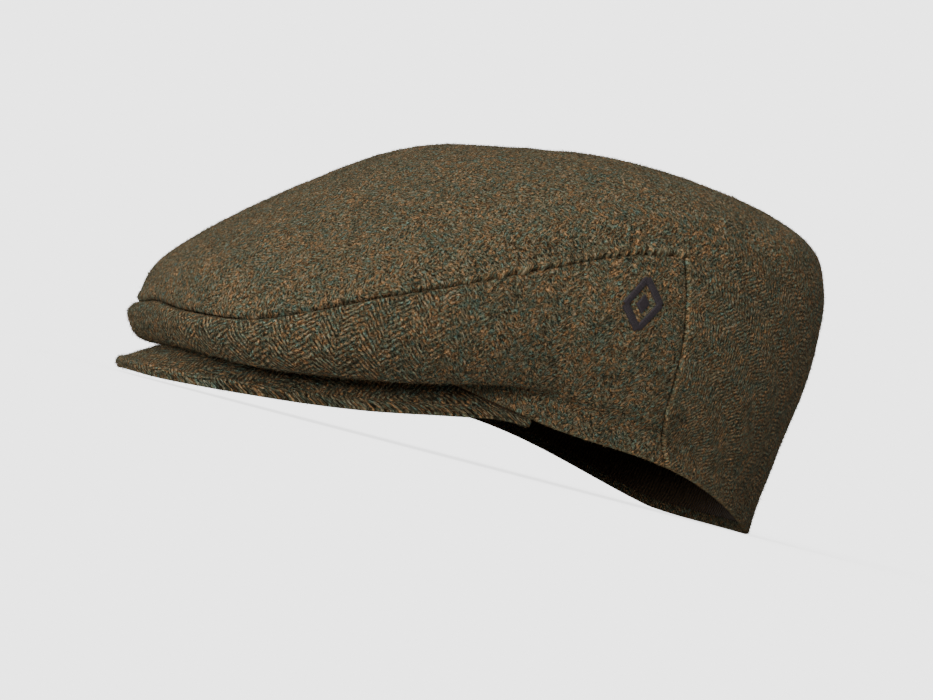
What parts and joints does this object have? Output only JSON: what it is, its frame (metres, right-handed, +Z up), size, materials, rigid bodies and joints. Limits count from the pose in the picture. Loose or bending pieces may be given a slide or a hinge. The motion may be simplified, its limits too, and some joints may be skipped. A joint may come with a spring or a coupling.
{
  "type": "flat cap",
  "caption": "Flat cap with a shaped crown of a top panel and a side band, a short stiff peak that the crown overhangs, a turned-up hem, a sweatband and a domed lining.",
  "frame": {"origin": "centre of the cap's footprint, on the surface that it lies on", "axes": "-Y towards the peak, +X towards the wearer's left, +Z up"},
  "size_m": [0.19, 0.265, 0.1267],
  "materials": {
    "tweed": "brushed wool",
    "lining": "matt twill"
  },
  "bodies": {
    "root": {"top_panel": "tweed", "side_band": "tweed", "peak": "tweed", "sweatband": "lining", "lining": "lining"}
  },
  "joints": []
}
